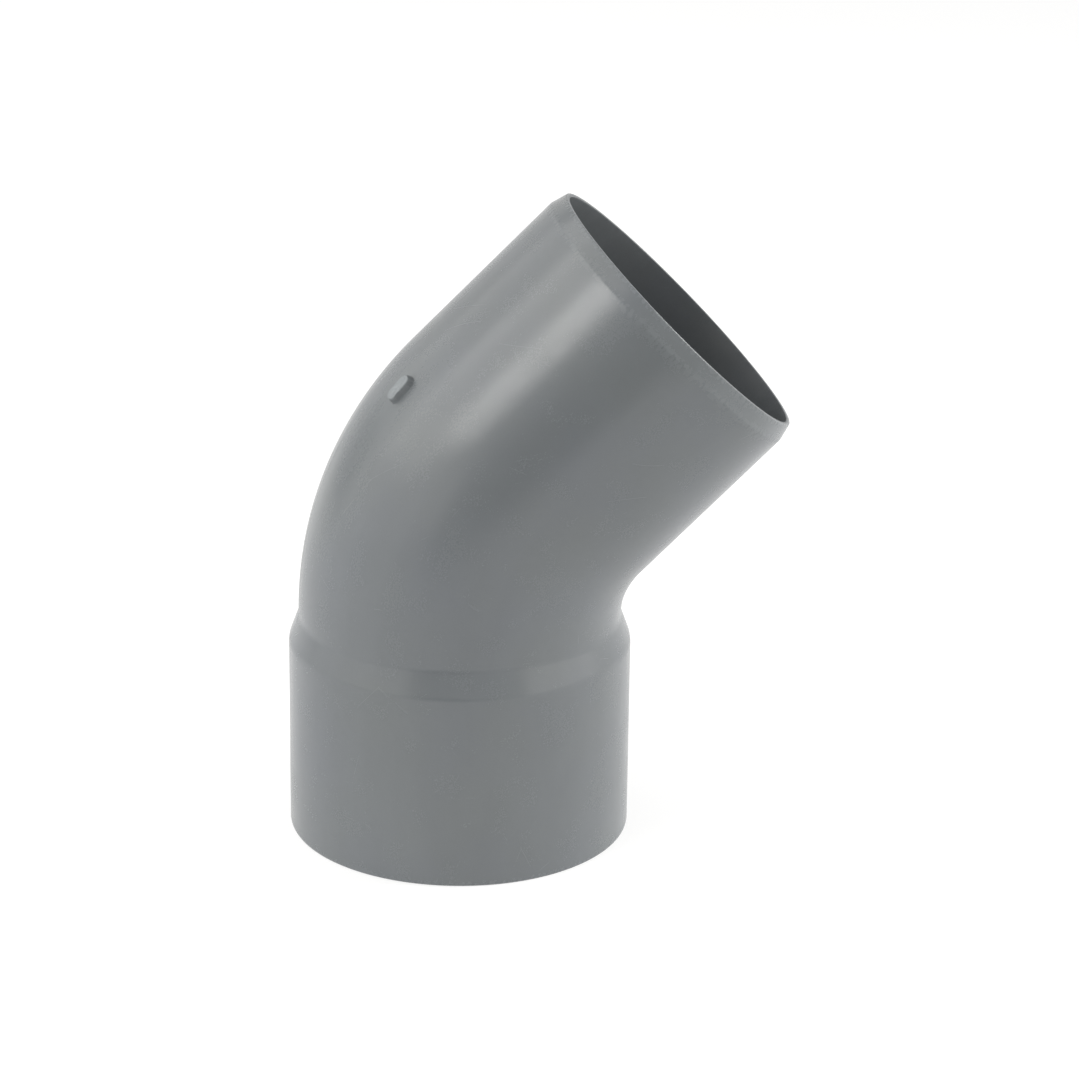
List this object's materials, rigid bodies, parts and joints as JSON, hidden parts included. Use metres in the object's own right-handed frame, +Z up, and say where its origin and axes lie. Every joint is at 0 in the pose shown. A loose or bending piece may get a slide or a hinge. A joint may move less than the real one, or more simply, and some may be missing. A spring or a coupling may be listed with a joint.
{
  "type": "pvc elbow fitting",
  "caption": "Grey PVC pipe elbow of 45 degrees, with a plain socket at one end and a plain spigot with a chamfered edge at the other.",
  "frame": {"origin": "centre of the socket's mouth, on the flat rim that the elbow stands on", "axes": "+Z up the socket's axis into the fitting, +X the way the spigot leans, XZ the elbow's plane of symmetry"},
  "size_m": [0.169, 0.1166, 0.2203],
  "materials": {
    "pvc": "mid-grey rigid PVC, moulded satin surface"
  },
  "bodies": {
    "root": {"socket": "pvc", "bend": "pvc", "spigot": "pvc"}
  },
  "joints": []
}
